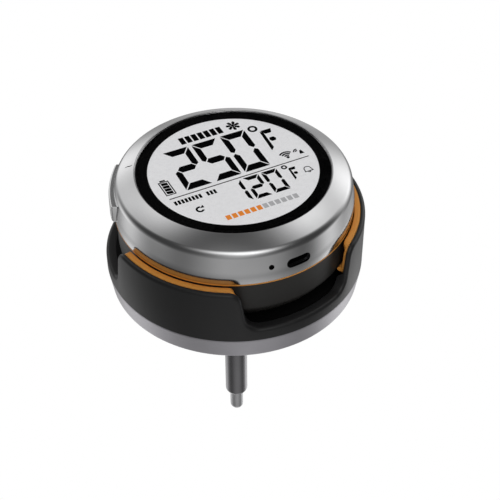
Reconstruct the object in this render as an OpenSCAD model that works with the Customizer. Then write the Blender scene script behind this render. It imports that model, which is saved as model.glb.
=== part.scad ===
// Lid-mounted wireless thermometer: a round display that lifts out of a three-winged
// magnetic dock, with a sensing stem below the dock.
// Origin: centre of the face that seats on the lid. +Z runs up to the glass, -Y is the
// side with the charging port. Millimetres.

/* [Display body] */
// Height of the glass above the lid
total_h = 47.1; // [44:0.1:50]
// Diameter of the glass
glass_d = 68.8; // [60:0.1:72]
// Thickness of the glass
glass_t = 0.8; // [0.6:0.1:1.5]
// Diameter of the clear window inside the black border
window_d = 60.2; // [50:0.1:61]
// Diameter where the sloping bezel ends
bezel_d = 83.4; // [82:0.1:84.6]
// Drop of the sloping bezel from the glass to its outer edge
bezel_drop = 3.8; // [2:0.1:5]
// Radius of the bezel's outer edge
bezel_round = 3.4; // [1:0.1:4]
// Diameter of the silver wall where it is widest
belly_d = 86; // [85:0.1:86.6]
// Height of the widest part of the silver wall above the lid
belly_z = 35; // [34:0.1:37]
// Diameter at the lower edge of the silver wall
skirt_d = 85.3; // [84.6:0.1:86]
// Height of the silver wall's lower edge above the lid
skirt_z = 30.9; // [30.7:0.1:32]
// Thickness of the orange ring below the silver wall
accent_t = 0.5; // [0.3:0.1:1]
// Wall thickness of both halves of the display body
wall_t = 1.8; // [1.2:0.1:2.4]
// Diameter of the black lower half
lower_d = 84; // [80:0.1:84.4]
// Diameter of the flat underside of the display
underside_d = 77; // [70:0.5:80]

/* [Charging port and button] */
// Width of the charging port's opening
port_w = 9.2; // [8.6:0.1:10]
// Height of the charging port's opening
port_h = 3.6; // [3.2:0.1:4]
// Height of the port's centre above the lid
port_z = 36.4; // [35:0.1:38]
// Diameter of the buzzer's sound hole
sound_hole_d = 1.9; // [1:0.1:2]
// Angle from the port to the sound hole
sound_hole_angle = -13.5; // [-20:0.5:-10]
// Angle from the port to the power button
button_angle = -120; // [-125:1:-115]
// Width of the power button across the wall
button_w = 24.8; // [20:0.1:30]
// Height of the power button
button_h = 6.6; // [4:0.1:6.8]
// How far the button stands out of the wall
button_out = 1; // [0.4:0.1:2]
// Radius of the button's bowed face
button_bow_r = 53; // [44:1:70]
// Gap around the button
button_gap = 0.4; // [0.2:0.05:0.5]

/* [Dock] */
// Outer diameter of the dock
dock_d = 94; // [93:0.5:96]
// Height of the top of the wings above the lid
wing_top_z = 29.9; // [27:0.1:30]
// Height of the low rim in the three gaps
rim_z = 13.1; // [12:0.1:15]
// Thickness of the black shell behind the liner
shell_t = 1.7; // [1.5:0.1:2]
// Thickness of the orange liner
liner_t = 2.35; // [1.5:0.05:2.4]
// Height of the lip's inner edge above the wings
liner_proud = 0.2; // [0:0.1:0.3]
// Height of the liner's lower edge above the lid
liner_foot_z = 18.5; // [18:0.1:22]
// Diameter of the plate's foot
plate_foot_d = 91.6; // [88:0.1:92.6]
// Height of the metal plate
plate_h = 8.4; // [7:0.1:9]
// Thickness of the metal plate
plate_t = 1.5; // [1:0.1:2]

/* [Gaps between the wings] */
// Half width of the front gap at the level of the low rim
gap_half_w = 20.3; // [18:0.1:22]
// Extra half width of the two side gaps
side_gap_extra = 1.9; // [0:0.1:2]
// Lean of the gap's sides from the vertical
gap_lean = 10; // [0:0.5:12]
// Radius of the gap's lower corners
gap_low_r = 5.5; // [3:0.5:7]
// Radius of the wings' upper corners
wing_corner_r = 4.6; // [2:0.1:5]

/* [Stem] */
// Diameter of the stem
stem_d = 8.8; // [6:0.1:9]
// Depth of the stem's shoulder below the lid face
stem_len = 68.4; // [50:0.1:90]
// Radius of the stem's shoulder
shoulder_r = 1.6; // [0.5:0.1:1.6]
// Diameter of the probe tip
tip_d = 5.2; // [4:0.1:5.4]
// Length of the probe tip below the shoulder
tip_len = 10.6; // [8:0.5:14]
// Wall thickness of the stem and the tip
tube_t = 0.6; // [0.4:0.05:0.7]

/* [Lid fastening] */
// Thread diameter of the collar that passes through the lid
thread_d = 12; // [11:0.5:14]
// Thread pitch
thread_pitch = 1.25; // [1:0.25:1.5]
// Length of the collar below the lid face
collar_len = 18; // [16:0.5:24]
// Lid thickness that the nut is set for
lid_t = 2.5; // [2.5:0.5:6]
// Distance across the nut's flats
nut_af = 18; // [17:0.5:20]
// Thickness of the nut
nut_t = 5; // [4:0.5:6]
// Diameter of the washer
washer_d = 24; // [20:0.5:30]
// Thickness of the washer
washer_t = 1.2; // [1:0.1:2]

/* [Hidden] */

$fn = 96;
eps = 0.01;          // overlap that makes a cut clean
fit = 0.05;          // clearance between pieces that fit together
over = 60;           // longer than any wall that it cuts
three = [0, 120, -120];
clear_of_gaps = [60, 180, 300];

silver = [0.82, 0.82, 0.83];
black = [0.1, 0.1, 0.11];
dark_grey = [0.18, 0.18, 0.17];
orange = [0.86, 0.48, 0.14];
steel = [0.6, 0.6, 0.63];
gold = [0.85, 0.68, 0.3];
board_green = [0.08, 0.3, 0.16];

glass_r = glass_d / 2;
bezel_r = bezel_d / 2;
belly_r = belly_d / 2;
belly_round = 15;
skirt_r = skirt_d / 2;
lower_r = lower_d / 2;
accent_z = skirt_z - accent_t;
glass_z = total_h - glass_t;
border_t = 0.15;
window_r = window_d / 2;
panel_r = window_r + 1.6;
panel_t = 2.2;
panel_z = glass_z - border_t - fit - panel_t;
backlight_t = 2.4;
backlight_z = panel_z - backlight_t;
ledge_t = 1.4;
ledge_over = 1.8;      // window edge to ledge edge
ledge_r = glass_r + 0.8;
ledge_z = glass_z - ledge_t;
bezel_z = total_h - bezel_drop;
dock_r = dock_d / 2;
shell_round = 1.3;     // radius of the wings' outer top edge
liner_r = dock_r - shell_t;
liner_inner_r = liner_r - liner_t;
floor_r = liner_inner_r + 0.2;
floor_t = 1.6;
floor_z = rim_z + 0.3;
floor_low = floor_z - floor_t;
display_z = floor_z + fit;
underside_t = 2;
inside_z = display_z + underside_t;
chamfer_z = display_z + 5;

board_t = 1.6;
board_r = 37.6;
port_size = [8.9, 7.4, 3.2];
port_recess = 0.2;
port_y = -bezel_r + port_size.y + port_recess;
port_wall = 0.3;
port_back = 1;
board_top = port_z - port_size.z / 2;
board_z = board_top - board_t;
tongue = [6.6, 4.6, 0.7];
battery_size = [48, 40, 10];
battery_r = 3;
radio_size = [18, 14, 2.4];
radio_y = 14;
buzzer_r = 6;
buzzer_h = 5;
buzzer_hole_r = 1;
buzzer_at = 28;
buzzer_turn = -38;
sound_hole_up = 0.6;   // sound hole's centre above the port's
button_face_r = belly_r + button_out;
button_z = port_z;
flange_over = 1.2;
flange_t = 1;
flange_r = bezel_r - wall_t;
plunger_r = 1.3;
plunger_out = 1.8;
plunger_seat = 0.8;
plunger_gap = 0.2;
switch_bore = 2;
switch_size = [7, 5, 3.6];
switch_face = flange_r - flange_t - plunger_out;

magnet_r = 5;
magnet_t = 2;
magnet_at = 30;
magnet_turn = 30;
pin_count = 5;
pin_pitch = 4;
pin_y = 12;
pin_r = 0.62;
pin_out = 1;
pin_top = floor_z + pin_out;
pin_len = 4.2;
pin_bore_r = pin_r + 0.06;
pad_r = 1.3;
pad_t = underside_t - pin_out + 0.4;
pocket = [22, 5];
block_size = [23, 5, 5.1];
spring_t = 0.25;
spring_z = pin_top - pin_len - 2;
dock_board_r = 31;
dock_board_z = 5;

screw_at = 35.5;
screw_head_r = 2.3;
screw_head_t = 1.4;
screw_shank_r = 1.1;
display_screw_len = 16;
dock_screw_len = 8;
dock_screw_at = 36.5;
lower_boss_r = 3.4;
lower_boss_top = 24;
upper_boss_r = 2.8;
plate_boss_h = 3;
head_z = 0.2;

stem_r = stem_d / 2;
tip_r = tip_d / 2;
thread_r = thread_d / 2;
collar_flange_r = 10;
collar_flange_t = 1.5;
spigot_r = stem_r - tube_t;
spigot_len = 12;
tip_spigot_len = 5;
shoulder_t = 2;
tip_end = -stem_len - tip_len;
bead_r = 1.2;
bead_len = 3;
bead_z = tip_end + 2.4;
press = 0.02;          // clearance of the parts that are pressed together
lead_r = 0.35;
lead_gap = 0.8;
washer_z = -lid_t - washer_t;
nut_z = washer_z - nut_t;
nut_chamfer = 1.2;

// Outline helpers: a polygon whose corners are rounded by the radii in a matching list.
function unit(v) = v / norm(v);
function half_turn(a) = a > 180 ? a - 360 : a < -180 ? a + 360 : a;
function corner(a, b, c, r, n = 8) = r == 0 ? [b] :
    let (u = unit(a - b), v = unit(c - b), half = acos(u * v) / 2)
    let (m = b + unit(u + v) * r / sin(half), p = b + u * r / tan(half) - m)
    let (q = b + v * r / tan(half) - m, a0 = atan2(p.y, p.x))
    let (turn = half_turn(atan2(q.y, q.x) - a0))
    [for (i = [0:n]) m + r * [cos(a0 + turn * i / n), sin(a0 + turn * i / n)]];
function rounded(pts, radii) = let (n = len(pts))
    [for (i = [0:n - 1]) each corner(pts[(i + n - 1) % n], pts[i], pts[(i + 1) % n], radii[i])];

// Turns a piece from the port's side (-Y) to an angle around the axis.
module around(angle) { rotate([0, 0, angle]) children(); }

// A ring with a rounded-corner section given as [radius, height] points.
module lathe(pts, radii) { rotate_extrude() polygon(rounded(pts, radii)); }

module tube(outer, inner, z0, z1) {
    translate([0, 0, z0]) difference() {
        cylinder(r = outer, h = z1 - z0);
        translate([0, 0, -eps]) cylinder(r = inner, h = z1 - z0 + 2 * eps);
    }
}

// A stadium-shaped bar along Y, centred in X and Z.
module stadium_bar(w, h, length) {
    translate([0, length / 2, 0]) rotate([90, 0, 0]) linear_extrude(length) {
        square([w - h, h], center = true);
        for (side = [-1, 1]) translate([side * (w - h) / 2, 0]) circle(d = h);
    }
}

// A pan-head screw that points up, with its head's underside at z = 0 and a cross recess.
module screw(length) {
    cylinder(r = screw_shank_r, h = length);
    translate([0, 0, -screw_head_t]) difference() {
        cylinder(r = screw_head_r, h = screw_head_t);
        for (turn = [0, 90]) rotate([0, 0, turn])
            cube([2.6, 0.6, 1.2], center = true);
    }
}

// The space that the power button fills, seen from the port's side.
module button_block(grow, r_in, r_out) {
    intersection() {
        tube(r_out, r_in, button_z - button_h / 2 - grow, button_z + button_h / 2 + grow);
        translate([-button_w / 2 - grow, -over, 0]) cube([button_w + 2 * grow, over, total_h]);
    }
}

// One gap between two wings, cut through the dock's wall.
module gap_cut(half_w, top_z) {
    lean = tan(gap_lean);
    low = [half_w, rim_z];
    high = [half_w + (top_z - rim_z) * lean, top_z];
    reach = high.x + over / 4;
    right = [low, high, [reach, top_z], [reach, top_z + over / 4]];
    radii = [gap_low_r, wing_corner_r, 0, 0];
    left = [for (i = [3:-1:0]) [-right[i].x, right[i].y]];
    outline = rounded(concat(right, left), concat(radii, [0, 0, wing_corner_r, gap_low_r]));
    translate([0, -over / 2, 0]) rotate([90, 0, 0]) linear_extrude(over / 2) polygon(outline);
}

module gap_cuts(top_z) {
    for (i = [0:2]) around(three[i])
        gap_cut(gap_half_w + (i == 0 ? 0 : side_gap_extra), top_z);
}

module bezel_housing() {
    color(silver) difference() {
        union() {
            lathe([[glass_r + fit, total_h], [bezel_r, bezel_z], [belly_r, belly_z],
                [skirt_r, skirt_z], [skirt_r - wall_t, skirt_z], [belly_r - wall_t, belly_z],
                [bezel_r - wall_t, bezel_z - wall_t], [ledge_r, ledge_z],
                [window_r + ledge_over, ledge_z], [window_r + ledge_over, glass_z - border_t],
                [glass_r + fit, glass_z - border_t]],
                [0.3, bezel_round, belly_round, 0, 0, 0, 2, 0, 0, 0, 0]);
            for (a = clear_of_gaps) around(a) translate([0, -screw_at, lower_boss_top])
                cylinder(r = upper_boss_r, h = ledge_z - lower_boss_top + eps);
        }
        for (a = clear_of_gaps) around(a) translate([0, -screw_at, lower_boss_top - eps])
            cylinder(r = screw_shank_r + fit, h = display_screw_len);
        translate([0, -bezel_r, port_z]) stadium_bar(port_w, port_h, 3 * wall_t);
        around(sound_hole_angle) translate([0, -bezel_r + 2 * wall_t, port_z + sound_hole_up])
            rotate([90, 0, 0]) cylinder(d = sound_hole_d, h = 4 * wall_t);
        around(button_angle) button_block(button_gap, bezel_r - 3 * wall_t, over);
    }
}

module glass_lens() {
    color([0.85, 0.9, 0.92, 0.35])
        lathe([[0, glass_z], [glass_r, glass_z], [glass_r, total_h], [0, total_h]],
            [0, 0, 0.3, 0]);
}

module lens_border() {
    color(black) tube(glass_r - 0.2, window_r, glass_z - border_t, glass_z);
}

module lcd_panel() {
    color([0.8, 0.81, 0.82]) translate([0, 0, panel_z]) cylinder(r = panel_r, h = panel_t);
}

module backlight() {
    color("white") translate([0, 0, backlight_z]) cylinder(r = panel_r, h = backlight_t);
}

module accent_ring() {
    color(orange) tube(skirt_r, skirt_r - wall_t, accent_z, skirt_z);
}

module lower_housing() {
    color(dark_grey) difference() {
        union() {
            difference() {
                lathe([[0, display_z], [underside_d / 2, display_z], [lower_r, chamfer_z],
                    [lower_r, accent_z], [0, accent_z]], [0, 1, 3, 0, 0]);
                lathe([[0, inside_z], [underside_d / 2 - wall_t, inside_z],
                    [lower_r - wall_t, chamfer_z + 0.5], [lower_r - wall_t, accent_z + 1],
                    [0, accent_z + 1]], [0, 1, 3, 0, 0]);
            }
            for (a = clear_of_gaps) around(a) translate([0, -screw_at, inside_z - eps])
                cylinder(r = lower_boss_r, h = lower_boss_top - fit - inside_z);
        }
        for (a = clear_of_gaps) around(a) translate([0, -screw_at, display_z - eps]) {
            cylinder(r = screw_head_r + 0.2, h = screw_head_t + 0.2 + fit);
            cylinder(r = screw_shank_r + 0.3, h = over);
        }
        translate([0, pin_y, display_z + pin_out / 2 - eps])
            cube([pocket.x, pocket.y, pin_out + eps], center = true);
        pin_row() cylinder(r = pad_r + fit, h = inside_z + eps);
    }
}

// Places one child at each of the dock's spring contacts.
module pin_row() {
    for (i = [0:pin_count - 1])
        translate([(i - (pin_count - 1) / 2) * pin_pitch, pin_y, 0]) children();
}

module main_board() {
    color(board_green) difference() {
        translate([0, 0, board_z]) cylinder(r = board_r, h = board_t);
        for (a = clear_of_gaps) around(a) translate([0, -screw_at - 2, board_z - eps])
            cylinder(r = upper_boss_r + 3, h = board_t + 2 * eps);
    }
}

module radio_module() {
    color(steel) translate([-radio_size.x / 2, radio_y, board_top]) cube(radio_size);
}

module battery() {
    color([0.2, 0.35, 0.6]) translate([0, 0, inside_z + 0.4 + fit]) linear_extrude(battery_size.z)
        polygon(rounded([for (c = [[-1, -1], [1, -1], [1, 1], [-1, 1]])
            [c.x * battery_size.x / 2, c.y * battery_size.y / 2]],
            [battery_r, battery_r, battery_r, battery_r]));
}

module usb_port() {
    color(steel) translate([0, port_y - port_size.y / 2, board_top + port_size.z / 2]) {
        difference() {
            stadium_bar(port_size.x, port_size.z, port_size.y);
            translate([0, -port_back, 0])
                stadium_bar(port_size.x - 2 * port_wall, port_size.z - 2 * port_wall, port_size.y);
        }
        translate([0, port_size.y / 2 - port_back - tongue.y / 2 + eps, 0]) cube(tongue, center = true);
    }
}

module buzzer() {
    color(black) around(buzzer_turn) translate([0, -buzzer_at, board_top]) difference() {
        cylinder(r = buzzer_r, h = buzzer_h);
        translate([0, 0, buzzer_h / 2]) cylinder(r = buzzer_hole_r, h = buzzer_h);
    }
}

module power_button() {
    color(silver) around(button_angle) {
        intersection() {
            button_block(0, flange_r - eps, over);
            translate([0, button_bow_r - button_face_r, 0]) cylinder(r = button_bow_r, h = total_h);
        }
        button_block(flange_over, flange_r - flange_t, flange_r);
    }
}

module button_plunger() {
    color(black) around(button_angle) translate([0, -switch_face + plunger_seat, button_z])
        rotate([90, 0, 0])
            cylinder(r = plunger_r, h = plunger_seat + plunger_out - plunger_gap);
}

module button_switch() {
    color(dark_grey) around(button_angle) difference() {
        translate([-switch_size.x / 2, -switch_face, board_top]) cube(switch_size);
        translate([0, -switch_face + switch_bore, button_z]) rotate([90, 0, 0])
            cylinder(r = plunger_r + 2 * fit, h = 2 * switch_bore);
    }
}

module display_magnets() {
    color(steel) for (a = clear_of_gaps) around(a + magnet_turn)
        translate([0, -magnet_at, inside_z]) cylinder(r = magnet_r, h = magnet_t);
}

module contact_pads() {
    color(gold) pin_row() translate([0, 0, pin_top]) cylinder(r = pad_r, h = pad_t);
}

module housing_screws() {
    color(steel) for (a = clear_of_gaps) around(a)
        translate([0, -screw_at, display_z + screw_head_t + 0.2]) screw(display_screw_len - 1);
}

module outer_shell() {
    color(black) difference() {
        lathe([[dock_r, plate_h], [dock_r, wing_top_z], [liner_r, wing_top_z],
            [liner_r, liner_foot_z], [floor_r + fit, liner_foot_z], [floor_r + fit, floor_low],
            [floor_r - 3, floor_low], [floor_r - 3, plate_h]],
            [0.3, shell_round, 0, 0, 0.5, 0, 0, 0]);
        gap_cuts(wing_top_z + fit);
    }
}

module orange_liner() {
    top = wing_top_z + liner_proud;
    color(orange) difference() {
        lathe([[liner_r, liner_foot_z], [liner_r, wing_top_z], [liner_inner_r, top],
            [liner_inner_r, liner_foot_z + 1.2], [liner_inner_r - 0.5, liner_foot_z]],
            [0, 0, 0.3, 0.5, 0.2]);
        gap_cuts(top + fit);
    }
}

module dock_floor() {
    color(dark_grey) difference() {
        union() {
            translate([0, 0, floor_low]) cylinder(r = floor_r, h = floor_t);
            for (a = clear_of_gaps) around(a) translate([0, -dock_screw_at, plate_boss_h + fit])
                cylinder(r = lower_boss_r, h = floor_low - plate_boss_h);
        }
        for (a = clear_of_gaps) around(a) translate([0, -dock_screw_at, 0])
            cylinder(r = screw_shank_r + fit, h = dock_screw_len + head_z + screw_head_t + eps);
        pin_row() cylinder(r = pin_r + 0.2, h = total_h);
    }
}

module bottom_plate() {
    foot_r = plate_foot_d / 2;
    color(steel) difference() {
        union() {
            lathe([[0, 0], [foot_r, 0], [dock_r, plate_h - 0.5], [dock_r, plate_h],
                [dock_r - plate_t, plate_h], [foot_r - plate_t, plate_t], [0, plate_t]],
                [0, 0.5, 0, 0, 0, 1, 0]);
            for (a = clear_of_gaps) around(a) translate([0, -dock_screw_at, 0])
                cylinder(r = lower_boss_r + 1, h = plate_boss_h);
        }
        for (a = clear_of_gaps) around(a) translate([0, -dock_screw_at, -eps]) {
            cylinder(r = screw_head_r + 0.2, h = screw_head_t + head_z + fit);
            cylinder(r = screw_shank_r + 0.3, h = plate_boss_h + 1);
        }
        translate([0, 0, -eps]) cylinder(r = thread_r + fit, h = plate_t + 1);
    }
}

module dock_magnets() {
    color(steel) for (a = clear_of_gaps) around(a + magnet_turn)
        translate([0, -magnet_at, floor_low - magnet_t]) cylinder(r = magnet_r, h = magnet_t);
}

module contact_block() {
    color(black) difference() {
        translate([-block_size.x / 2, pin_y - block_size.y / 2, floor_low - block_size.z])
            cube(block_size);
        pin_row() translate([0, 0, spring_z]) cylinder(r = pin_bore_r, h = total_h);
    }
}

module contact_pins() {
    color(gold) pin_row() translate([0, 0, pin_top - pin_len])
        lathe([[0, 0], [pin_r, 0], [pin_r, pin_len], [0, pin_len]], [0, 0, 0.4, 0]);
}

module contact_springs() {
    color(steel) pin_row()
        tube(pin_r - fit, pin_r - fit - spring_t, spring_z, pin_top - pin_len);
}

module dock_board() {
    color(board_green) translate([0, 0, dock_board_z]) cylinder(r = dock_board_r, h = board_t);
}

module dock_screws() {
    color(steel) for (a = clear_of_gaps) around(a)
        translate([0, -dock_screw_at, head_z + screw_head_t]) screw(dock_screw_len);
}

module mount_collar() {
    color(steel) difference() {
        union() {
            translate([0, 0, plate_t]) cylinder(r = collar_flange_r, h = collar_flange_t);
            translate([0, 0, -collar_len])
                lathe([[0, 0], [thread_r, 0], [thread_r, collar_len + plate_t + eps],
                    [0, collar_len + plate_t + eps]], [0, 0.8, 0, 0]);
        }
        translate([0, 0, -collar_len - eps])
            cylinder(r = spigot_r + press, h = collar_len + plate_t + 2 * collar_flange_t);
    }
}

module stem_tube() {
    bore_r = spigot_r - tube_t;
    outline = [[tip_r + press, -stem_len], [stem_r, -stem_len], [stem_r, -collar_len],
        [spigot_r, -collar_len], [spigot_r, spigot_len - collar_len],
        [bore_r, spigot_len - collar_len], [bore_r, shoulder_t - stem_len],
        [tip_r + press, shoulder_t - stem_len]];
    color(steel) lathe(outline, [0, shoulder_r, 0, 0, 0, 0, 0, 0]);
}

module probe_tip() {
    top = tip_spigot_len - stem_len;
    color(steel) lathe([[0, tip_end], [tip_r, tip_end], [tip_r, top], [tip_r - tube_t, top],
        [tip_r - tube_t, tip_end + tube_t], [0, tip_end + tube_t]],
        [0, 0.8 * tip_r, 0, 0, 0.6 * tip_r, 0]);
}

module temperature_sensor() {
    color(black) translate([0, 0, bead_z]) {
        sphere(r = bead_r);
        cylinder(r = bead_r, h = bead_len);
    }
}

module sensor_leads() {
    low = bead_z + bead_len;
    color("firebrick") for (side = [-1, 1]) translate([side * lead_gap, 0, low])
        cylinder(r = lead_r, h = dock_board_z - low);
}

module collar_washer() {
    color(steel) tube(washer_d / 2, thread_r + 0.3, washer_z, washer_z + washer_t);
}

module lock_nut() {
    color(steel) translate([0, 0, nut_z]) difference() {
        intersection() {
            cylinder(d = nut_af / cos(30), h = nut_t, $fn = 6);
            lathe([[0, 0], [nut_af / 2 + nut_chamfer, 0], [nut_af / 2 + nut_chamfer, nut_t],
                [0, nut_t]], [0, nut_chamfer, 0, 0]);
        }
        translate([0, 0, -eps]) cylinder(r = thread_r + fit, h = nut_t + 2 * eps);
    }
}

bezel_housing();
glass_lens();
lens_border();
lcd_panel();
backlight();
accent_ring();
lower_housing();
main_board();
radio_module();
battery();
usb_port();
buzzer();
power_button();
button_plunger();
button_switch();
display_magnets();
contact_pads();
housing_screws();
outer_shell();
orange_liner();
dock_floor();
bottom_plate();
dock_magnets();
contact_block();
contact_pins();
contact_springs();
dock_board();
dock_screws();
mount_collar();
stem_tube();
probe_tip();
temperature_sensor();
sensor_leads();
collar_washer();
lock_nut();
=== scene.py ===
"""Lid-mounted wireless thermometer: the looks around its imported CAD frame. Sizes in mm, +Z up."""
from math import acos, atan2, cos, hypot, log, pi, radians, sin, tan

import bmesh
import bpy
from mathutils import Matrix, Vector


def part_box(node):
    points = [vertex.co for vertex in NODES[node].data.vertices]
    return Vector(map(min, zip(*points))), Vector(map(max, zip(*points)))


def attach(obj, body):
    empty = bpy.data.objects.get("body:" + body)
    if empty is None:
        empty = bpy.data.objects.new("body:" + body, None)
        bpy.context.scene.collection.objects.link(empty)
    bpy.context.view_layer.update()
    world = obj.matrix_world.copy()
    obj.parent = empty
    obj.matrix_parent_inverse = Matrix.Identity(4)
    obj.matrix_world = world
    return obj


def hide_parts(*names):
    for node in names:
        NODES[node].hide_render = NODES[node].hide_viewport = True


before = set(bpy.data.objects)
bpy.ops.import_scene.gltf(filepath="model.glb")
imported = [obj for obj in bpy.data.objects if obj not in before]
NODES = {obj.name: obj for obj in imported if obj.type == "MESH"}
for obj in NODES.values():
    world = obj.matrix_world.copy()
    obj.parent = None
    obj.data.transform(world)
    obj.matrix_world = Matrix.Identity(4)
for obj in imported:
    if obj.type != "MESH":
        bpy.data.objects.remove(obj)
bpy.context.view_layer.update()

MM = 0.001               # the frame and the meshes are in metres
ROUND_STEPS = 288        # columns around a full turn
CURVE_STEPS = 10         # points along a rounded corner
SMOOTH_BELOW = radians(32)     # edges that turn by less than this are shaded smooth


# ---------------------------------------------------------------- sizes from the frame, in mm

def low(node):
    """The lowest corner of a CAD node's box."""
    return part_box(node)[0] / MM


def high(node):
    """The highest corner of a CAD node's box."""
    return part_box(node)[1] / MM


TOP_Z = high("bezel_housing").z
GLASS_R = high("glass_lens").x
GLASS_FIT = 0.05         # clearance around the glass
WINDOW_R = high("lcd_panel").x - 1.6     # the panel reaches a little under the border
SKIRT_R = high("accent_ring").y
SKIRT_Z = high("accent_ring").z
LEDGE_Z = low("glass_lens").z - 0.15     # the ledge for the glass, below the printed border
DOCK_R = high("outer_shell").y
SHELL_FOOT_Z = low("outer_shell").z
WING_Z = high("outer_shell").z
LINER_FOOT_Z = low("orange_liner").z
LINER_TOP_Z = high("orange_liner").z
FLOOR_R = high("dock_floor").y
FLOOR_Z = high("dock_floor").z
RIM_Z = FLOOR_Z - 0.3    # the shell's edge in the gaps between the wings
SHELL_T = 1.7            # wall of the dock's shell at the wings
LINER_T = 2.35           # width of the liner's lip
LINER_R = DOCK_R - SHELL_T
LINER_IN_R = LINER_R - LINER_T
BEZEL_R = SKIRT_R - 0.95 # where the slope would meet the wall, with no rounding
BEZEL_Z = TOP_Z - 3.8
BELLY_R = SKIRT_R + 0.35 # the wall bulges a little between the bezel and the skirt
BELLY_Z = SKIRT_Z + 4.1
PANEL_TOP_Z = high("lcd_panel").z
PORT_Z = (low("usb_port").z + high("usb_port").z) / 2
TIP_Z = low("probe_tip").z
COLLAR_LOW_Z = low("mount_collar").z
THREAD_R = 6.0
BUTTON_TURN = radians(-120)    # turns are from the port's side (-Y) towards +X
MARK_TURN = radians(-124.8)
BUTTON_HALF_W = 12.4
BUTTON_HALF_H = 3.3
BUTTON_Z = (low("power_button").z + high("power_button").z) / 2
BUTTON_R = BELLY_R + 1.0       # where its face stands, out from the wall
BUTTON_BOW_R = 53.0      # the radius that its face is bowed to
SOUND_HOLE_R = 0.95
SOUND_HOLE_TURN = radians(-13.5)
SOUND_HOLE_Z = PORT_Z + 0.6
GAP_TURNS = [0, radians(120), radians(-120)]
GAP_RIM_HALF = 20.3      # half width of the front gap along the dock's outside, at the rim
SIDE_GAP_EXTRA = 1.9     # how much wider each half of the other two gaps is
GAP_LEAN = radians(10)   # of a gap's sides
GAP_LOW_R = 5.5          # roundings at a gap's foot and at a wing's corners
WING_CORNER_R = 4.6


# ---------------------------------------------------------------- outlines

def arc(cx, cy, r, a0, a1, steps=CURVE_STEPS):
    """Points on an arc, angles in radians."""
    return [(cx + r * cos(a0 + (a1 - a0) * i / steps), cy + r * sin(a0 + (a1 - a0) * i / steps))
            for i in range(steps + 1)]


def round_corner(a, b, c, r):
    """Points that round the corner b, between the points a and c."""
    a, b, c = Vector(a), Vector(b), Vector(c)
    if r == 0:
        return [tuple(b)]
    u, v = (a - b).normalized(), (c - b).normalized()
    half = acos(max(-1, min(1, u.dot(v)))) / 2
    centre = b + (u + v).normalized() * r / sin(half)
    start, stop = b + u * r / tan(half) - centre, b + v * r / tan(half) - centre
    a0 = atan2(start.y, start.x)
    turn = (atan2(stop.y, stop.x) - a0 + pi) % (2 * pi) - pi
    return arc(centre.x, centre.y, r, a0, a0 + turn)


def rounded(points, radii):
    """A closed outline whose corners are rounded by the matching radii."""
    n = len(points)
    out = []
    for i, r in enumerate(radii):
        out += round_corner(points[i - 1], points[i], points[(i + 1) % n], r)
    return out


def inset(outline, d):
    """A convex outline, counter-clockwise, moved inwards by d."""
    n = len(outline)
    moved = []
    for i in range(n):
        p, q = Vector(outline[i]), Vector(outline[(i + 1) % n])
        along = (q - p).normalized()
        moved.append((p + Vector((-along.y, along.x)) * d, along))
    out = []
    for i in range(n):
        (p, u), (q, v) = moved[i - 1], moved[i]
        cross = u.x * v.y - u.y * v.x
        t = ((q.x - p.x) * v.y - (q.y - p.y) * v.x) / cross
        out.append(tuple(p + u * t))
    return out


def smooth(x, lo, hi):
    """Rises smoothly from 0 at lo to 1 at hi."""
    t = max(0, min(1, (x - lo) / (hi - lo)))
    return t * t * (3 - 2 * t)


# ---------------------------------------------------------------- meshes

def place(name, verts, faces, body, slot, mat, stands_for=(), sharp=SMOOTH_BELOW):
    """Makes a mesh piece from points in mm, smooth but for its sharp edges, and lets it ride."""
    mesh = bpy.data.meshes.new(name)
    mesh.from_pydata([[c * MM for c in v] for v in verts], [], faces)
    mesh.validate()
    bm = bmesh.new()
    bm.from_mesh(mesh)
    bmesh.ops.recalc_face_normals(bm, faces=bm.faces)
    bm.to_mesh(mesh)
    bm.free()
    mesh.shade_smooth()
    mesh.set_sharp_from_angle(angle=sharp)
    piece = bpy.data.objects.new(name, mesh)
    bpy.context.scene.collection.objects.link(piece)
    mesh.materials.append(mat)
    if body:
        finish_piece(piece, body, stands_for)
    return piece


def finish_piece(piece, body, stands_for):
    """Lets a piece ride on its body, and hides the CAD nodes that it stands for."""
    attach(piece, body)
    if stands_for:
        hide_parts(*stands_for)


def ring_sweep(sections):
    """Joins equal cross-sections, each a closed list of points, into a closed loop."""
    n, m = len(sections[0]), len(sections)
    verts = [p for section in sections for p in section]
    faces = []
    for i in range(m):
        this, following = i * n, (i + 1) % m * n
        faces += [(this + k, following + k, following + (k + 1) % n, this + (k + 1) % n)
                  for k in range(n)]
    return verts, faces


def around_axis(outline, turn):
    """The points of a (radius, height) outline, at one turn around Z from +X."""
    return [(r * cos(turn), r * sin(turn), z) for r, z in outline]


def open_sweep(sections):
    """As ring_sweep, but with two closed ends."""
    n, m = len(sections[0]), len(sections)
    verts = [p for section in sections for p in section]
    faces = [(i * n + k, (i + 1) * n + k, (i + 1) * n + (k + 1) % n, i * n + (k + 1) % n)
             for i in range(m - 1) for k in range(n)]
    faces += [tuple(range(n)), tuple(reversed(range((m - 1) * n, m * n)))]
    return verts, faces


def prisms(outlines, z0, z1, turn):
    """Flat plates with the given outlines, between two heights, turned around Z."""
    verts, faces = [], []
    c, s = cos(turn), sin(turn)
    for outline in outlines:
        n, base = len(outline), len(verts)
        for z in (z0, z1):
            verts += [(x * c - y * s, x * s + y * c, z) for x, y in outline]
        faces.append(tuple(range(base + n, base + 2 * n)))
        faces.append(tuple(reversed(range(base, base + n))))
        faces += [(base + k, base + (k + 1) % n, base + n + (k + 1) % n, base + n + k)
                  for k in range(n)]
    return verts, faces


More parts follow.
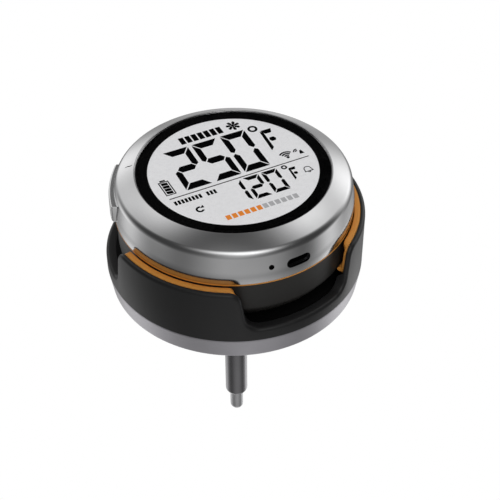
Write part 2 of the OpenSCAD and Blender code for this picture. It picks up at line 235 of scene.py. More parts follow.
def cut(piece, cutters):
    """Subtracts the cutters from a piece, and removes them."""
    for cutter in cutters:
        mod = piece.modifiers.new("cut", "BOOLEAN")
        mod.object, mod.operation, mod.solver = cutter, "DIFFERENCE", "EXACT"
    graph = bpy.context.evaluated_depsgraph_get()
    mesh = bpy.data.meshes.new_from_object(piece.evaluated_get(graph))
    piece.modifiers.clear()
    piece.data = mesh
    mesh.shade_smooth()
    mesh.set_sharp_from_angle(angle=SMOOTH_BELOW)
    for cutter in cutters:
        bpy.data.objects.remove(cutter)


def turned(verts, angle):
    """Points on the port's side (-Y), turned around Z."""
    c, s = cos(angle), sin(angle)
    return [(x * c - y * s, x * s + y * c, z) for x, y, z in verts]


# ---------------------------------------------------------------- materials

def node_tree(name):
    """A new material, its node tree and its shader."""
    mat = bpy.data.materials.new(name)
    mat.use_nodes = True
    tree = mat.node_tree
    return mat, tree, tree.nodes["Principled BSDF"]


def add(tree, kind, **values):
    """Adds a node. A value called in_Name_of_input sets that input, and any other a property."""
    node = tree.nodes.new(kind)
    for key, value in values.items():
        if key.startswith("in_"):
            node.inputs[key[3:].replace("_", " ")].default_value = value
        else:
            setattr(node, key, value)
    return node


def object_coords(tree):
    return add(tree, "ShaderNodeTexCoord").outputs["Object"]


def noise(tree, coords, scale, detail):
    node = add(tree, "ShaderNodeTexNoise", in_Scale=scale, in_Detail=detail)
    tree.links.new(coords, node.inputs["Vector"])
    return node.outputs["Fac"]


def remap(tree, value, lo, hi):
    """Turns the middle range of a noise value into the range from lo to hi."""
    node = add(tree, "ShaderNodeMapRange", in_From_Min=0.3, in_From_Max=0.7, in_To_Min=lo, in_To_Max=hi)
    tree.links.new(value, node.inputs["Value"])
    return node.outputs["Result"]


def two_tone(tree, value, dark, light):
    """A colour that runs from dark to light with a noise value."""
    ramp = add(tree, "ShaderNodeValToRGB")
    ramp.color_ramp.elements[0].position = 0.35
    ramp.color_ramp.elements[1].position = 0.65
    ramp.color_ramp.elements[0].color = (*dark, 1)
    ramp.color_ramp.elements[1].color = (*light, 1)
    tree.links.new(value, ramp.inputs["Fac"])
    return ramp.outputs["Color"]


def bump(tree, shader, height, strength, distance):
    node = add(tree, "ShaderNodeBump", in_Strength=strength, in_Distance=distance)
    tree.links.new(height, node.inputs["Height"])
    tree.links.new(node.outputs["Normal"], shader.inputs["Normal"])


def radial_coords(tree, scale):
    """(radius, 0, height) of the point, scaled, for marks that run around the axis."""
    split = add(tree, "ShaderNodeSeparateXYZ")
    tree.links.new(object_coords(tree), split.inputs[0])
    flat = add(tree, "ShaderNodeCombineXYZ")
    tree.links.new(split.outputs["X"], flat.inputs["X"])
    tree.links.new(split.outputs["Y"], flat.inputs["Y"])
    length = add(tree, "ShaderNodeVectorMath", operation="LENGTH")
    tree.links.new(flat.outputs[0], length.inputs[0])
    join = add(tree, "ShaderNodeCombineXYZ")
    for source, target in ((length.outputs["Value"], "X"), (split.outputs["Z"], "Z")):
        times = add(tree, "ShaderNodeMath", operation="MULTIPLY")
        times.inputs[1].default_value = scale
        tree.links.new(source, times.inputs[0])
        tree.links.new(times.outputs[0], join.inputs[target])
    return join.outputs[0]


def metal(name, dark, light, rough, lines=9000, line_depth=0.03):
    """Satin metal with fine turning marks, and a faint cloudy change of tone and gloss."""
    mat, tree, shader = node_tree(name)
    shader.inputs["Metallic"].default_value = 1.0
    coords = object_coords(tree)
    cloud = noise(tree, coords, scale=60, detail=4)
    tree.links.new(two_tone(tree, cloud, dark, light), shader.inputs["Base Color"])
    marks = noise(tree, radial_coords(tree, lines), scale=1.0, detail=2)
    fine = noise(tree, coords, scale=2500, detail=2)
    tree.links.new(remap(tree, fine, rough * 0.9, rough * 1.12), shader.inputs["Roughness"])
    bump(tree, shader, marks, strength=line_depth, distance=0.0001)
    return mat


def plastic(name, dark, light, rough, specular=0.5):
    """Moulded plastic or rubber: a fine spark-eroded grain and slight tone changes."""
    mat, tree, shader = node_tree(name)
    shader.inputs["Specular IOR Level"].default_value = specular
    coords = object_coords(tree)
    cloud = noise(tree, coords, scale=45, detail=4)
    tree.links.new(two_tone(tree, cloud, dark, light), shader.inputs["Base Color"])
    fine = noise(tree, coords, scale=3500, detail=3)
    tree.links.new(remap(tree, fine, rough * 0.88, rough * 1.12), shader.inputs["Roughness"])
    bump(tree, shader, fine, strength=0.08, distance=0.0002)
    return mat


def screen(name, dark, light, rough, painted_glow=0.0, specular=0.2):
    """The display's panel or its ink: a fine cell grain over an even tone, with an even painted glow in
    place of light falling on it.
    """
    mat, tree, shader = node_tree(name)
    coords = object_coords(tree)
    cells = noise(tree, coords, scale=900, detail=2)
    colour = two_tone(tree, cells, dark, light)
    tree.links.new(colour, shader.inputs["Base Color"])
    tree.links.new(remap(tree, cells, rough * 0.9, rough * 1.1), shader.inputs["Roughness"])
    shader.inputs["Specular IOR Level"].default_value = specular
    if painted_glow:
        tree.links.new(colour, shader.inputs["Emission Color"])
        shader.inputs["Emission Strength"].default_value = painted_glow
    return mat


def clear_glass(name):
    """Nearly invisible glass with faint smears in its gloss."""
    mat, tree, shader = node_tree(name)
    shader.inputs["Base Color"].default_value = (0.02, 0.022, 0.024, 1)
    shader.inputs["Alpha"].default_value = 0.02
    shader.inputs["Specular IOR Level"].default_value = 0.15
    smears = noise(tree, object_coords(tree), scale=80, detail=4)
    tree.links.new(remap(tree, smears, 0.02, 0.06), shader.inputs["Roughness"])
    return mat


SILVER = metal("satin silver", (0.57, 0.57, 0.575), (0.61, 0.61, 0.615), 0.15, line_depth=0.012)
BUTTON_SILVER = metal("button silver", (0.78, 0.78, 0.785), (0.82, 0.82, 0.825), 0.22, line_depth=0.012)
PLATE_STEEL = metal("blasted plate steel", (0.385, 0.375, 0.40), (0.42, 0.41, 0.435), 0.4,
                    line_depth=0.015)
STEM_STEEL = metal("stem steel", (0.235, 0.23, 0.24), (0.265, 0.26, 0.27), 0.24, lines=14000,
                   line_depth=0.025)
TIP_STEEL = metal("probe tip steel", (0.48, 0.48, 0.49), (0.54, 0.54, 0.55), 0.4)
# The charging port's metal is nearly black: painted shade for the dark inside of the port.
PORT_SHADE_METAL = metal("port shell darkened to painted shade", (0.03, 0.03, 0.032), (0.04, 0.04, 0.043), 0.4)
BRIGHT = metal("bright nickel", (0.62, 0.61, 0.6), (0.68, 0.67, 0.66), 0.2)
GOLD = metal("gold plating", (0.80, 0.56, 0.20), (0.86, 0.62, 0.25), 0.22)
BLACK = plastic("black shell plastic", (0.018, 0.018, 0.0185), (0.021, 0.021, 0.0215), 0.38,
                specular=0.35)
# Black plastic darkened far below the shell's black, as painted shade: it is used for the dock's floor
# seen through the gaps and for the sleeve in the sound hole.
SHADOW = plastic("near-black painted shade plastic", (0.002, 0.002, 0.002), (0.003, 0.003, 0.003), 0.6,
                 specular=0.1)
DARK = plastic("dark housing plastic", (0.028, 0.027, 0.025), (0.034, 0.033, 0.031), 0.45,
               specular=0.35)
ORANGE = plastic("orange rubber", (0.96, 0.40, 0.07), (1.0, 0.42, 0.08), 0.45,
                 specular=0.35)
ACCENT = plastic("orange ring plastic", (0.94, 0.39, 0.06), (0.98, 0.41, 0.07), 0.35)
PRINT = plastic("black border print", (0.005, 0.005, 0.0052), (0.006, 0.006, 0.0062), 0.35,
                specular=0.0)
# The panel and the coloured ink glow evenly: painted light that brightens them in place of light
# falling on them.
LCD = screen("lcd panel", (0.60, 0.60, 0.61), (0.63, 0.63, 0.64), 0.5, painted_glow=0.65)
SEGMENT = screen("lcd segments", (0.002, 0.002, 0.0025), (0.003, 0.003, 0.0035), 0.5, specular=0.0)
ORANGE_INK = screen("lcd orange segments", (0.80, 0.24, 0.03), (0.83, 0.26, 0.035), 0.5, painted_glow=0.35)
GREY_INK = screen("lcd grey segments", (0.40, 0.40, 0.41), (0.43, 0.43, 0.44), 0.5, painted_glow=0.4)
WHITE = plastic("diffuser plastic", (0.75, 0.75, 0.74), (0.8, 0.8, 0.79), 0.5)
GLASS = clear_glass("cover glass")
BOARD = plastic("green solder mask", (0.01, 0.075, 0.03), (0.015, 0.1, 0.04), 0.3)
CELL = plastic("blue cell wrap", (0.03, 0.09, 0.26), (0.04, 0.12, 0.32), 0.3)
LEAD = plastic("red lead sleeve", (0.2, 0.012, 0.01), (0.26, 0.018, 0.014), 0.45)

# The CAD nodes that no mesh here replaces, by the material that each gets.
CARRIED = {
    PLATE_STEEL: ["bottom_plate"], STEM_STEEL: ["stem_tube", "collar_washer", "lock_nut"],
    TIP_STEEL: ["probe_tip"], PORT_SHADE_METAL: ["usb_port"], SHADOW: ["dock_floor"],
    BRIGHT: ["radio_module", "display_magnets", "dock_magnets", "housing_screws",
             "dock_screws", "contact_springs"],
    GOLD: ["contact_pads", "contact_pins"],
    BLACK: ["buzzer", "contact_block", "button_plunger", "button_switch", "temperature_sensor"],
    DARK: ["lower_housing"], ACCENT: ["accent_ring"], PRINT: ["lens_border"],
    LCD: ["lcd_panel"], WHITE: ["backlight"], GLASS: ["glass_lens"],
    BOARD: ["main_board", "dock_board"], CELL: ["battery"], LEAD: ["sensor_leads"],
}
for mat, names in CARRIED.items():
    for name in names:
        NODES[name].material_slots[0].material = mat


# ---------------------------------------------------------------- display body

def wall_cutter(outline, z, turn, out, depth):
    """A prism with an outline (along the wall, up), from outside the wall to a depth inside it."""
    ends = [turned([(x, y, z + up) for x, up in outline], turn)
            for y in (-SKIRT_R - out, -SKIRT_R + depth)]
    return place("cutter", *open_sweep(ends), None, None, SILVER)


def bezel():
    """The satin slope and wall, with the ledge for the glass and the openings in the wall."""
    wall, ledge_t, ledge_in = 1.8, 1.25, WINDOW_R + 1.8
    profile = rounded(
        [(GLASS_R + GLASS_FIT, TOP_Z), (BEZEL_R, BEZEL_Z), (BELLY_R, BELLY_Z), (SKIRT_R, SKIRT_Z),
         (SKIRT_R - wall, SKIRT_Z), (BELLY_R - wall, BELLY_Z), (BEZEL_R - wall, BEZEL_Z - wall),
         (GLASS_R + 0.8, LEDGE_Z - ledge_t), (ledge_in, LEDGE_Z - ledge_t), (ledge_in, LEDGE_Z),
         (GLASS_R + GLASS_FIT, LEDGE_Z)],
        [0.3, 3.4, 15, 0.15, 0, 0, 2, 0, 0, 0, 0])
    verts, faces = ring_sweep([around_axis(profile, 2 * pi * i / ROUND_STEPS)
                               for i in range(ROUND_STEPS)])
    piece = place("bezel_skin", verts, faces, None, None, SILVER)
    slot_w, slot_h = 9.2, 3.6
    r = slot_h / 2
    half = slot_w / 2 - r
    slot = arc(half, 0, r, -pi / 2, pi / 2) + arc(-half, 0, r, pi / 2, 3 * pi / 2)
    hole = arc(0, 0, SOUND_HOLE_R, 0, 2 * pi, 24)[:-1]
    half_w, half_h = BUTTON_HALF_W + 0.4, BUTTON_HALF_H + 0.3
    corners = [(x * half_w, z * half_h) for x, z in ((-1, -1), (1, -1), (1, 1), (-1, 1))]
    window = rounded(corners, [0.9] * 4)
    cut(piece, [wall_cutter(slot, PORT_Z, 0, out=2, depth=8),
                wall_cutter(hole, SOUND_HOLE_Z, SOUND_HOLE_TURN, out=2, depth=4),
                wall_cutter(window, BUTTON_Z, BUTTON_TURN, out=4, depth=12)])
    finish_piece(piece, "display", ["bezel_housing"])


def button():
    """The power button: a bowed pad with a soft edge, and the flange that keeps it in the wall."""
    corner, edge, corner_steps, side_steps, edge_steps = 0.6, 0.7, 5, 12, 6
    flange, flange_low, flange_top = 1.2, 5.0, 4.1
    half = [(BUTTON_HALF_W - corner + corner * sin(a), BUTTON_HALF_H - corner + corner * cos(a))
            for a in [pi / 2 * i / corner_steps for i in range(corner_steps, -1, -1)]]
    half += [(BUTTON_HALF_W * i / side_steps, BUTTON_HALF_H) for i in range(side_steps - 1, 0, -1)]
    top = [(-x, z) for x, z in half] + [(0, BUTTON_HALF_H)] + [(x, z) for x, z in reversed(half)]
    m = len(top)

    def level(inset_by, depth, wide=0.0):
        """The button's outline at a depth below its face, drawn in by inset_by or widened."""
        kx = (BUTTON_HALF_W + wide - inset_by) / BUTTON_HALF_W
        kz = (BUTTON_HALF_H + wide - inset_by) / BUTTON_HALF_H
        out = []
        for x, z in top + [(x, -z) for x, z in reversed(top)]:
            bow = BUTTON_BOW_R - (BUTTON_BOW_R ** 2 - (x * kx) ** 2) ** 0.5
            out.append((x * kx, -BUTTON_R + bow + depth, BUTTON_Z + z * kz))
        return turned(out, BUTTON_TURN)

    levels = [level(0, flange_low, flange), level(0, flange_top, flange), level(0, flange_top)]
    levels += [level(edge * (1 - sin(a)), edge * (1 - cos(a)))
               for a in [pi / 2 * (1 - i / edge_steps) for i in range(edge_steps + 1)]]
    verts, faces = open_sweep(levels)
    # both ends are bowed, so a strip of faces takes the place of each single end face
    faces = faces[:-2]
    for first in (0, (len(levels) - 1) * 2 * m):
        faces += [(first + i, first + i + 1, first + 2 * m - 2 - i, first + 2 * m - 1 - i)
                  for i in range(m - 1)]
    place("button_pad", verts, faces, "button", "satin_silver", BUTTON_SILVER, ["power_button"])


def sound_hole_shade_sleeve():
    """The sleeve with a closed end that lines the buzzer's sound hole, near black: painted shade for
    the dark inside of the hole.
    """
    face, rim, depth, wall, core, steps = BELLY_R - 0.1, SOUND_HOLE_R - 0.02, 1.5, 0.14, 0.2, 24
    # (radius, depth behind the wall's face)
    rings = [(rim, 0.12), (rim - 0.08, 0.02), (rim - wall, 0.06), (rim - wall, depth - 0.2),
             (core, depth - 0.1), (core, depth), (rim, depth)]
    sections = []
    for i in range(steps):
        a = 2 * pi * i / steps
        ring = [(r * cos(a), -face + d, SOUND_HOLE_Z + r * sin(a)) for r, d in rings]
        sections.append(turned(ring, SOUND_HOLE_TURN))
    verts, faces = ring_sweep(sections)
    place("sound_hole_shade_sleeve", verts, faces, "display", "black_plastic", SHADOW)


def button_mark():
    """A short wavy line printed on the slope, which shows where the button is."""
    slope_r = GLASS_R + GLASS_FIT
    fall = (TOP_Z - BEZEL_Z) / (BEZEL_R - slope_r)
    r_in, r_out, width, wave, sunk, proud, steps = 35.6, 38.2, 0.42, 0.16, 0.1, 0.02, 16
    sections = []
    for i in range(steps + 1):
        t = i / steps
        r = r_in + (r_out - r_in) * t
        side = wave * sin(2 * pi * t)
        half = width / 2 * (0.35 + 0.65 * sin(pi * t) ** 0.5)
        z = TOP_Z - (r - slope_r) * fall
        corners = ((-half, -sunk), (half, -sunk), (half, proud), (-half, proud))
        sections.append(turned([(side + x, -r, z + h) for x, h in corners], MARK_TURN))
    verts, faces = open_sweep(sections)
    place("button_mark", verts, faces, "display", "black_print", PRINT)


bezel()
button()
sound_hole_shade_sleeve()
button_mark()


# ---------------------------------------------------------------- liquid-crystal segments

LCD_TURN = radians(-4.5)
LCD_STRETCH = 1.02       # across the lines of the display
INK_LOW_Z = PANEL_TOP_Z + 0.005
INK_HIGH_Z = PANEL_TOP_Z + 0.04
STROKE_STEPS = 32        # points along a curved stroke
SLIT = 0.02              # half the hairline gap where a closed stroke would touch itself
DIGIT_LEAN = 0.032       # how far the digits lean to the right, by height
SEGMENTS_LIT = {"0": "abcdef", "1": "bc", "2": "abged", "5": "afgcd"}


def seven(digit, u, v, w, h, bar, post, gap):
    """Outlines of the lit segments of one digit whose lower left corner is (u, v). bar and post are
    the widths of the lying and the standing segments."""
    m = h / 2
    tip = 0.3 * bar
    shapes = {
        "a": [(0, h), (post, h - bar), (w - post, h - bar), (w, h)],
        "d": [(0, 0), (w, 0), (w - post, bar), (post, bar)],
        "g": [(post / 2, m), (post, m - bar / 2), (w - post, m - bar / 2), (w - post / 2, m),
              (w - post, m + bar / 2), (post, m + bar / 2)],
        "f": [(0, h), (0, m + tip), (post / 2, m), (post, m + bar / 2), (post, h - bar)],
        "e": [(0, 0), (post, bar), (post, m - bar / 2), (post / 2, m), (0, m - tip)],
        "b": [(w, h), (w - post, h - bar), (w - post, m + bar / 2), (w - post / 2, m), (w, m + tip)],
        "c": [(w, 0), (w, m - tip), (w - post / 2, m), (w - post, m - bar / 2), (w - post, bar)],
    }
    return [[(u + x + y * DIGIT_LEAN, v + y) for x, y in inset(shapes[name], gap / 2)]
            for name in SEGMENTS_LIT[digit]]


def letter_f(u, v, w, h, post, bold):
    """The unit letter, drawn with three segments; bold is the thickness of its strokes."""
    m = 0.5 * h
    return [
        [(u + 0.1 * post, v), (u + 0.1 * post + 0.65 * bold, v + 0.9 * post),
         (u + 0.65 * post + 0.5 * bold, v + 0.92 * h), (u + 0.65 * post, v + 0.96 * h)],
        [(u + 0.9 * post, v + h), (u + 1.6 * post, v + h - bold), (u + 0.85 * w, v + h - bold),
         (u + w, v + h)],
        [(u + 1.4 * post, v + m), (u + 1.7 * post, v + m - bold / 2), (u + 0.75 * w, v + m - bold / 2),
         (u + 0.85 * w, v + m), (u + 0.75 * w, v + m + bold / 2), (u + 1.7 * post, v + m + bold / 2)],
    ]


def dot(cx, cy, r):
    """A filled circle."""
    return [arc(cx, cy, r, 0, 2 * pi, 24)[:-1]]


def band(cx, cy, r, width, a0=0.0, a1=2 * pi):
    """A curved stroke. A full circle is two halves, with a hairline slit between them."""
    if a1 - a0 > 1.9 * pi:
        mid, slit = (a0 + a1) / 2, SLIT / r
        return (band(cx, cy, r, width, a0 + slit, mid - slit)
                + band(cx, cy, r, width, mid + slit, a1 - slit))
    outer = arc(cx, cy, r + width / 2, a0, a1, STROKE_STEPS)
    inner = arc(cx, cy, r - width / 2, a1, a0, STROKE_STEPS)
    return [outer + inner]


def line(x0, y0, x1, y1, width):
    """A straight stroke."""
    length = hypot(x1 - x0, y1 - y0)
    nx, ny = -(y1 - y0) / length * width / 2, (x1 - x0) / length * width / 2
    return [[(x0 - nx, y0 - ny), (x1 - nx, y1 - ny), (x1 + nx, y1 + ny), (x0 + nx, y0 + ny)]]


def block(x0, y0, x1, y1):
    """A filled rectangle."""
    return [[(x0, y0), (x1, y0), (x1, y1), (x0, y1)]]


def frame_box(x0, y0, x1, y1, width):
    """A rectangle's outline as one stroke, with a hairline slit in its left side."""
    mid = (y0 + y1) / 2
    u0, v0, u1, v1 = x0 + width, y0 + width, x1 - width, y1 - width
    return [[(x0, mid - SLIT), (x0, y0), (x1, y0), (x1, y1), (x0, y1), (x0, mid + SLIT),
             (u0, mid + SLIT), (u0, v1), (u1, v1), (u1, v0), (u0, v0), (u0, mid - SLIT)]]


def main_reading():
    """The large reading, with its degree sign and unit."""
    shapes = []
    pitch, left, base = 11.2, -19.6, -3.55
    for i, digit in enumerate("250"):
        shapes += seven(digit, left + i * pitch, base, w=10.2, h=22.7, bar=3.6, post=2.7, gap=0.42)
    shapes += band(16.6, 17.9, 1.4, 0.9)
    shapes += letter_f(17.0, 3.6, w=5.7, h=11.9, post=1.6, bold=2.25)
    return shapes


def second_reading():
    """The small reading, with its degree sign and unit."""
    shapes = []
    pitch, left, base = 7.05, -7.1, -18.0
    for i, digit in enumerate("120"):
        shapes += seven(digit, left + i * pitch, base, w=6.25, h=12.2, bar=2.05, post=1.6, gap=0.3)
    shapes += band(16.3, -6.8, 0.8, 0.6)
    shapes += letter_f(16.6, -14.5, w=3.3, h=6.6, post=0.9, bold=1.35)
    return shapes


def cell_icon():
    """An upright cell with four bars."""
    x0, y0, x1, y1 = -26.8, -3.1, -23.0, 4.5
    shapes = frame_box(x0, y0, x1, y1, 0.4)
    shapes += block(x0 + 0.9, y1 + 0.15, x1 - 0.9, y1 + 0.9)
    count, rise, left, right = 4, 1.6, x0 + 0.75, x1 - 0.75
    for i in range(count):
        y = y0 + 0.6 + i * rise
        shapes.append([(left, y + 0.25), (right, y), (right, y + 1.4), (left, y + 1.6)])
    return shapes


def link_icon():
    """A dot with three arcs above it."""
    cx, cy = 20.3, -2.5
    shapes = dot(cx, cy + 0.1, 0.6)
    for r in (1.25, 2.2, 3.15):
        shapes += band(cx, cy, r, 0.65, radians(46), radians(134))
    return shapes


def station_icon():
    """A small base with two arcs."""
    cx, cy = 25.0, -2.6
    shapes = [[(cx, cy), (cx + 1.8, cy), (cx + 1.3, cy + 2.1), (cx + 0.6, cy + 1.8)]]
    for r in (0.7, 1.4):
        shapes += band(cx - 0.1, cy + 1.6, r, 0.48, radians(80), radians(170))
    return shapes


def fan_icon():
    cx, cy, count = 11.1, 22.8, 7
    shapes = dot(cx, cy, 0.6)
    blade = [(0.4, -0.2), (1.1, -0.75), (2.3, -0.9), (2.7, -0.1), (2.1, 0.3), (0.9, 0.2)]
    for i in range(count):
        a = radians(20) + 2 * pi * i / count
        shapes.append([(cx + x * cos(a) - y * sin(a), cy + x * sin(a) + y * cos(a)) for x, y in blade])
    return shapes


def bell_icon():
    cx, cy, r, stroke = 23.3, -11.1, 1.25, 0.34
    shapes = band(cx, cy, r, stroke, 0, pi)
    for side in (-1, 1):
        shapes += line(cx + side * r, cy, cx + side * 1.45, cy - 1.2, stroke)
    shapes += line(cx - 1.7, cy - 1.25, cx + 1.7, cy - 1.25, stroke)
    shapes += band(cx, cy - 1.4, 0.45, stroke, pi, 2 * pi)
    return shapes


def repeat_icon():
    """An arrow that runs in a circle."""
    cx, cy = -19.5, -14.2
    shapes = band(cx, cy, 1.15, 0.75, radians(65), radians(330))
    shapes.append([(cx + 0.25, cy + 0.55), (cx + 1.75, cy + 0.35), (cx + 1.6, cy + 1.75)])
    return shapes


def bars(left, base, count, width, height, gap):
    """A row of plain bars, a generic scale in the place of a word."""
    shapes = []
    for i in range(count):
        x = left + i * (width + gap)
        shapes += block(x, base, x + width, base + height)
    return shapes


def scales():
    """The rows of plain bars at the top and the left of the display."""
    shapes = bars(-10.2, 20.6, 7, 1.9, 3.9, 0.55)
    shapes += bars(-26.0, -8.95, 8, 0.9, 2.1, 0.4)
    shapes += bars(-14.0, -8.95, 3, 0.9, 2.1, 0.4)
    return shapes


def rule():
    """The line between the two readings."""
    return line(-26.6, -5.1, 27.2, -4.9, 0.4)


def lcd_ink(name, shapes, mat=SEGMENT):
    """Places shapes as thin ink on the panel."""
    shapes = [[(x, y * LCD_STRETCH) for x, y in outline] for outline in shapes]
    verts, faces = prisms(shapes, INK_LOW_Z, INK_HIGH_Z, LCD_TURN)
    place(name, verts, faces, "display", "lcd", mat)


lcd_ink("lcd_main_reading", main_reading())
lcd_ink("lcd_second_reading", second_reading())
lcd_ink("lcd_icons", cell_icon() + link_icon() + station_icon() + fan_icon() + bell_icon()
        + repeat_icon())
lcd_ink("lcd_scales", scales() + rule())
for level, left, ink in (("low", -13.6, ORANGE_INK), ("high", 0.2, GREY_INK)):
    lcd_ink("lcd_level_" + level, bars(left, -23.3, 6, 1.7, 2.3, 0.6), ink)


# ---------------------------------------------------------------- dock

def gap_edge(half):
    """One side of a gap as (distance along the outside, height, outward normal) samples, from the
    middle of the rim up over the wing's corner."""
    low_r, high_r, rim_steps, side_steps = GAP_LOW_R, WING_CORNER_R, 12, 6
    lean = tan(GAP_LEAN)
    low_x = half + low_r * lean - low_r / cos(GAP_LEAN)
    high_x = half + (WING_Z - high_r - RIM_Z) * lean + high_r / cos(GAP_LEAN)
    out = [(low_x * i / rim_steps, RIM_Z, 0, 1) for i in range(rim_steps)]
    for i in range(CURVE_STEPS + 1):
        a = -pi / 2 + (pi / 2 - GAP_LEAN) * i / CURVE_STEPS
        out.append((low_x + low_r * cos(a), RIM_Z + low_r + low_r * sin(a), -cos(a), -sin(a)))
    a0, a1 = pi - GAP_LEAN, pi / 2
    first = (high_x + high_r * cos(a0), WING_Z - high_r + high_r * sin(a0))
    last = out[-1]
    for i in range(1, side_steps):
        t = i / side_steps
        out.append((last[0] + (first[0] - last[0]) * t, last[1] + (first[1] - last[1]) * t,
                    -cos(GAP_LEAN), sin(GAP_LEAN)))
    for i in range(CURVE_STEPS + 1):
        a = a0 + (a1 - a0) * i / CURVE_STEPS
        out.append((high_x + high_r * cos(a), WING_Z - high_r + high_r * sin(a), cos(a), sin(a)))
    return out


def dock_edge():
    """The whole upper edge of the dock as (angle, height, normal) samples around the axis."""
    wing_steps = 40
    gaps = []
    for turn in GAP_TURNS:
        side = gap_edge(GAP_RIM_HALF + (0 if turn == 0 else SIDE_GAP_EXTRA))
        right = [(turn + s / DOCK_R, z, ns, nz) for s, z, ns, nz in side]
        left = [(turn - s / DOCK_R, z, -ns, nz) for s, z, ns, nz in reversed(side[1:])]
        gaps.append(left + right)
    gaps.sort(key=lambda gap: gap[0][0])
    edge = []
    for i, gap in enumerate(gaps):
        edge += gap
        start = gap[-1][0]
        stop = gaps[(i + 1) % 3][0][0] + (2 * pi if i == 2 else 0)
        edge += [(start + (stop - start) * k / wing_steps, WING_Z, 0, 1)
                 for k in range(1, wing_steps)]
    return edge


def at(angle, r, z):
    """A point at an angle from the port's side, a radius and a height."""
    return (r * sin(angle), -r * cos(angle), z)


def edge_section(sample, foot_z, r_in, r_out, b_in, b_out):
    """Cross-section of a wall under one edge sample. b_in and b_out round its upper edge."""
    angle, z, ns, nz = sample
    steps = 6
    inner, outer = [], []
    for i in range(steps + 1):
        a = pi / 2 * i / steps
        back, r = b_in * (1 - sin(a)), r_in + b_in * (1 - cos(a))
        inner.append(at(angle - ns * back / DOCK_R, r, z - nz * back))
        back, r = b_out * (1 - sin(a)), r_out - b_out * (1 - cos(a))
        outer.append(at(angle - ns * back / DOCK_R, r, z - nz * back))
    foot_in = at(angle - ns * b_in / DOCK_R, r_in, foot_z)
    foot_out = at(angle - ns * b_out / DOCK_R, r_out, foot_z)
    return [foot_in] + inner + outer[::-1] + [foot_out]


def shell():
    """The dock's black shell, with its three wings, and a step in the wall that holds the liner."""
    floor_in, step_h, inner_edge, outer_edge = FLOOR_R + 0.05, 1.2, 0.2, 1.3
    sections = []
    for sample in dock_edge():
        above = smooth(sample[1], LINER_FOOT_Z - step_h, LINER_FOOT_Z)
        r_in = floor_in + (LINER_R - floor_in) * above
        sections.append(edge_section(sample, SHELL_FOOT_Z, r_in, DOCK_R, inner_edge, outer_edge))
    verts, faces = ring_sweep(sections)
    place("dock_shell_skin", verts, faces, "dock", "black_plastic", BLACK, ["outer_shell"])


def liner():
    """The orange liners behind the three wings: a sloped lip on top, and a foot that curls in."""
    proud = LINER_TOP_Z - WING_Z
    recess = 0.7             # how far it keeps back from the wings' upright edges
    foot, foot_t = LINER_FOOT_Z, 1.7
    wall_in, out_r = LINER_R - 1.15, LINER_R - 0.04
    foot_in, curl, reach = LINER_IN_R - 0.5, 0.25, 0.75
    wings, wing = [], []
    for angle, z, ns, nz in dock_edge() * 2:
        out = (proud + recess) * smooth(nz, 0.8, 1.0) - recess
        # the edge of a wing is high or steep, and the rim of a gap is neither
        on_wing = z > WING_Z - 5 or nz < 0.5
        if on_wing and z > foot + foot_t + 0.7:
            wing.append((angle + ns * out / DOCK_R, z + nz * out, ns, nz))
        elif wing:
            wings.append(wing)
            wing = []
    verts, faces = [], []
    for wing in wings[1:4]:
        sections = []
        for angle, z, ns, nz in wing:
            lying = smooth(nz, 0.75, 1.0)
            lip_in = LINER_IN_R + (wall_in - LINER_IN_R) * (1 - lying)
            drop = proud * lying
            lip_low = max(z - 0.5 - nz * (drop + 0.9), foot + foot_t + 0.1)
            # (radius, height, how far the point keeps back from the wing's edge)
            flat = [(foot_in + reach, foot, 0.2), (foot_in + curl, foot + curl, 0.1),
                    (foot_in, foot + foot_t / 2, 0), (foot_in + curl, foot + foot_t - curl, 0.1),
                    (foot_in + reach, foot + foot_t, 0.2), (wall_in, foot + foot_t + 0.05, 0.2),
                    (wall_in, lip_low - 0.05, 0.2), (lip_in, lip_low, 0.2),
                    (lip_in, z - 0.05 - nz * 0.25, 0.3), (lip_in + 0.1, z - nz * 0.1, 0.1),
                    (lip_in + 0.35, z, 0), (out_r - 0.6, z - 0.3 * drop, 0),
                    (out_r - 0.2, z - 0.7 * drop, 0.1), (out_r, z - nz * 0.3 - drop, 0.3),
                    (out_r, foot, 0.3)]
            sections.append([at(angle - ns * back / DOCK_R, r, h) for r, h, back in flat])
        v, f = open_sweep(sections)
        faces += [tuple(k + len(verts) for k in face) for face in f]
        verts += v
    place("liner_skin", verts, faces, "dock", "orange_rubber", ORANGE, ["orange_liner"], radians(50))


shell()
liner()


# ---------------------------------------------------------------- fastening

def collar():
    """The collar that passes through the lid, with its helical thread and its inner flange."""
    pitch, depth, columns, rows_per_turn = 1.25, 0.7, 72, 10
    flange_z, flange_top, flange_r, edge, bore = 1.5, 3.0, 10, 0.3, 3.82
    low_z = COLLAR_LOW_Z
    rows = int((flange_z - low_z) / pitch * rows_per_turn)
    sections = []
    for k in range(columns):
        turn = k / columns
        column = [(bore, flange_top), (bore, low_z), (THREAD_R - depth - 0.1, low_z)]
        for i in range(1, rows):
            z = low_z + (flange_z - low_z) * i / rows
            phase = ((z - low_z) / pitch - turn) % 1
            groove = smooth(abs(phase - 0.5), 0.06, 0.44)
            # the groove fades out at the lower end and just under the lid's face, at height 0
            groove *= smooth(z, low_z - 0.1, low_z + 0.6) * (1 - smooth(z, -0.9, -0.1))
            chamfer = max(0.0, 0.6 - (z - low_z))
            column.append((min(THREAD_R - depth * groove, THREAD_R - chamfer), z))
        column += [(THREAD_R, flange_z), (flange_r - edge, flange_z), (flange_r, flange_z + edge),
                   (flange_r, flange_top - edge), (flange_r - edge, flange_top)]
        sections.append(around_axis(column, 2 * pi * turn))
    verts, faces = ring_sweep(sections)
    place("threaded_collar", verts, faces, "dock", "stem_steel", STEM_STEEL, ["mount_collar"],
          radians(50))


collar()


# ---------------------------------------------------------------- floor, light and camera

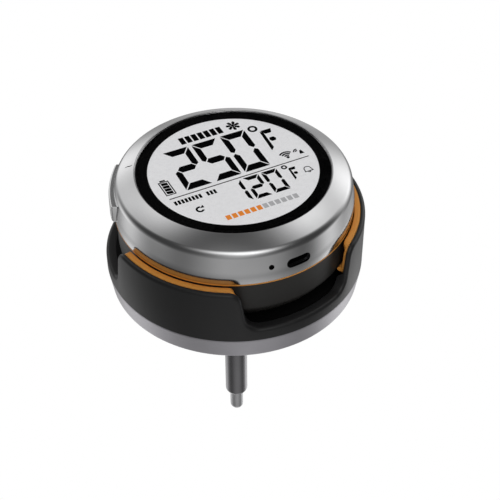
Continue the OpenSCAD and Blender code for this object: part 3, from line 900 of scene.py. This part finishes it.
def studio():
    """A pale floor that only the camera sees, so that it throws no light back at the object."""
    mesh = bpy.data.meshes.new("floor")
    half, z = 4.0, TIP_Z * MM      # in metres
    mesh.from_pydata([(-half, -half, z), (half, -half, z), (half, half, z), (-half, half, z)], [],
                     [(0, 1, 2, 3)])
    floor = bpy.data.objects.new("floor", mesh)
    bpy.context.scene.collection.objects.link(floor)
    mat, tree, shader = node_tree("pale floor")
    shader.inputs["Base Color"].default_value = (0.0, 0.0, 0.0, 1)
    shader.inputs["Roughness"].default_value = 1.0
    shader.inputs["Specular IOR Level"].default_value = 0.0
    shader.inputs["Emission Color"].default_value = (1, 1, 1, 1)
    shader.inputs["Emission Strength"].default_value = 1.0
    mesh.materials.append(mat)
    floor.visible_diffuse = floor.visible_glossy = floor.visible_shadow = False


def lobe(tree, direction, azimuth, elevation, strength, tightness):
    """One softbox far away: a round patch of light that fades at its edge."""
    a, e = radians(azimuth), radians(elevation)
    facing = add(tree, "ShaderNodeVectorMath", operation="DOT_PRODUCT")
    facing.inputs[1].default_value = (sin(a) * cos(e), -cos(a) * cos(e), sin(e))
    tree.links.new(direction, facing.inputs[0])
    fall = add(tree, "ShaderNodeMath", operation="MULTIPLY_ADD")
    fall.inputs[1].default_value = tightness
    fall.inputs[2].default_value = log(strength) - tightness
    tree.links.new(facing.outputs["Value"], fall.inputs[0])
    patch = add(tree, "ShaderNodeMath", operation="EXPONENT")
    tree.links.new(fall.outputs[0], patch.inputs[0])
    return patch.outputs[0]


# (azimuth, elevation, strength, tightness). The angles are in degrees, with azimuth 0 at -Y and
# 90 at +X.
SOFTBOXES = [
    (105, 15, 1.65, 14), (90, 55, 1.2, 24), (100, -52, 1.6, 24), (65, -25, 0.85, 24),
    (200, 55, 1.0, 28), (200, 30, 0.7, 24), (180, 8, 1.2, 24), (145, -15, 0.5, 20),
    (220, -18, 1.1, 17), (200, -65, 2.2, 20), (260, -18, 0.25, 20), (-5, -75, 0.9, 16),
    (-10, 45, 1.6, 26), (-40, 55, 1.2, 24), (-25, 20, 0.45, 14), (-40, -25, 0.4, 9), (0, -27, 0.3, 14),
]
AMBIENT = 0.06


def studio_light():
    """The softboxes, in front of a backdrop that is white where it is seen directly."""
    scene_world = bpy.data.worlds.new("studio")
    bpy.context.scene.world = scene_world
    scene_world.use_nodes = True
    tree = scene_world.node_tree
    direction = add(tree, "ShaderNodeVectorMath", operation="NORMALIZE")
    tree.links.new(add(tree, "ShaderNodeTexCoord").outputs["Generated"], direction.inputs[0])
    total = None
    for box in SOFTBOXES:
        patch = lobe(tree, direction.outputs[0], *box)
        plus = add(tree, "ShaderNodeMath", operation="ADD")
        tree.links.new(patch, plus.inputs[0])
        if total:
            tree.links.new(total, plus.inputs[1])
        else:
            plus.inputs[1].default_value = AMBIENT
        total = plus.outputs[0]
    backdrop = add(tree, "ShaderNodeMath", operation="MAXIMUM")
    tree.links.new(total, backdrop.inputs[0])
    tree.links.new(add(tree, "ShaderNodeLightPath").outputs["Is Camera Ray"], backdrop.inputs[1])
    tree.links.new(backdrop.outputs[0], tree.nodes["Background"].inputs["Strength"])
    tree.nodes["Background"].inputs["Color"].default_value = (1, 1, 1, 1)


def camera():
    """A long lens that looks down at the object, from the left of the charging port."""
    azimuth, elevation, distance = radians(-30), radians(37.97), 418.9
    centre = Vector((0, 0, 46.8))
    aim = Vector((4.89, -2.94, 8.26))
    roll = radians(0.175)
    back = Vector((sin(azimuth) * cos(elevation), -cos(azimuth) * cos(elevation), sin(elevation)))
    spot = centre + back * distance
    data = bpy.data.cameras.new("camera")
    data.lens, data.sensor_width = 86.26, 36
    cam = bpy.data.objects.new("camera", data)
    bpy.context.scene.collection.objects.link(cam)
    look = (spot - aim).normalized().to_track_quat("Z", "Y").to_matrix()
    cam.matrix_world = Matrix.Translation(spot * MM) @ (look @ Matrix.Rotation(-roll, 3, "Z")).to_4x4()
    bpy.context.scene.camera = cam


studio()
studio_light()
camera()
bpy.context.scene.view_settings.view_transform = "Standard"
